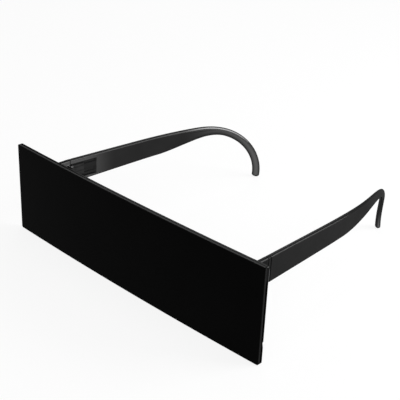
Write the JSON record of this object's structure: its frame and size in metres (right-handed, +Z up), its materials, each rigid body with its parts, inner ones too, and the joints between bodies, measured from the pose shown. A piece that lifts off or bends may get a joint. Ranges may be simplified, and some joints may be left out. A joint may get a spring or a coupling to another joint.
{
  "type": "novelty bar sunglasses",
  "caption": "Sunglasses whose front is one long plain black bar, with curved ear hooks on temples that fold inwards on small screwed leaf hinges.",
  "frame": {"origin": "middle of the bar's bottom edge, halfway through its thickness", "axes": "+X along the bar to the wearer's left, +Y from the bar back to the ears, +Z up; left and right are the wearer's"},
  "size_m": [0.165, 0.1452, 0.0472],
  "materials": {
    "panel": "smooth near-black sheet, dark enough to hide the eyes, satin gloss",
    "frame": "moulded black plastic, semi-gloss",
    "temple": "moulded charcoal-black plastic, polished hooks, slightly duller blades",
    "pad": "soft black silicone, matte",
    "hinge_metal": "black lacquered stamped steel, bare at the knuckles' edges",
    "screw_metal": "dark steel with a bright slot"
  },
  "bodies": {
    "front": {"bar_panel": "panel", "front_frame": "frame", "left_nose_pad": "pad", "right_nose_pad": "pad", "left_frame_leaf": "hinge_metal", "right_frame_leaf": "hinge_metal", "left_hinge_screw": "screw_metal", "right_hinge_screw": "screw_metal"},
    "left_arm": {"left_temple": "temple", "left_temple_leaf": "hinge_metal"},
    "right_arm": {"right_temple": "temple", "right_temple_leaf": "hinge_metal"}
  },
  "joints": [
    {"name": "left_fold", "type": "hinge", "parent": "front", "child": "left_arm", "pos_m": [0.06525, 0.02, 0.0316], "axis": [0, 0, 1], "range_deg": [0, 86]},
    {"name": "right_fold", "type": "hinge", "parent": "front", "child": "right_arm", "pos_m": [-0.06525, 0.02, 0.0316], "axis": [0, 0, -1], "range_deg": [0, 78]}
  ]
}
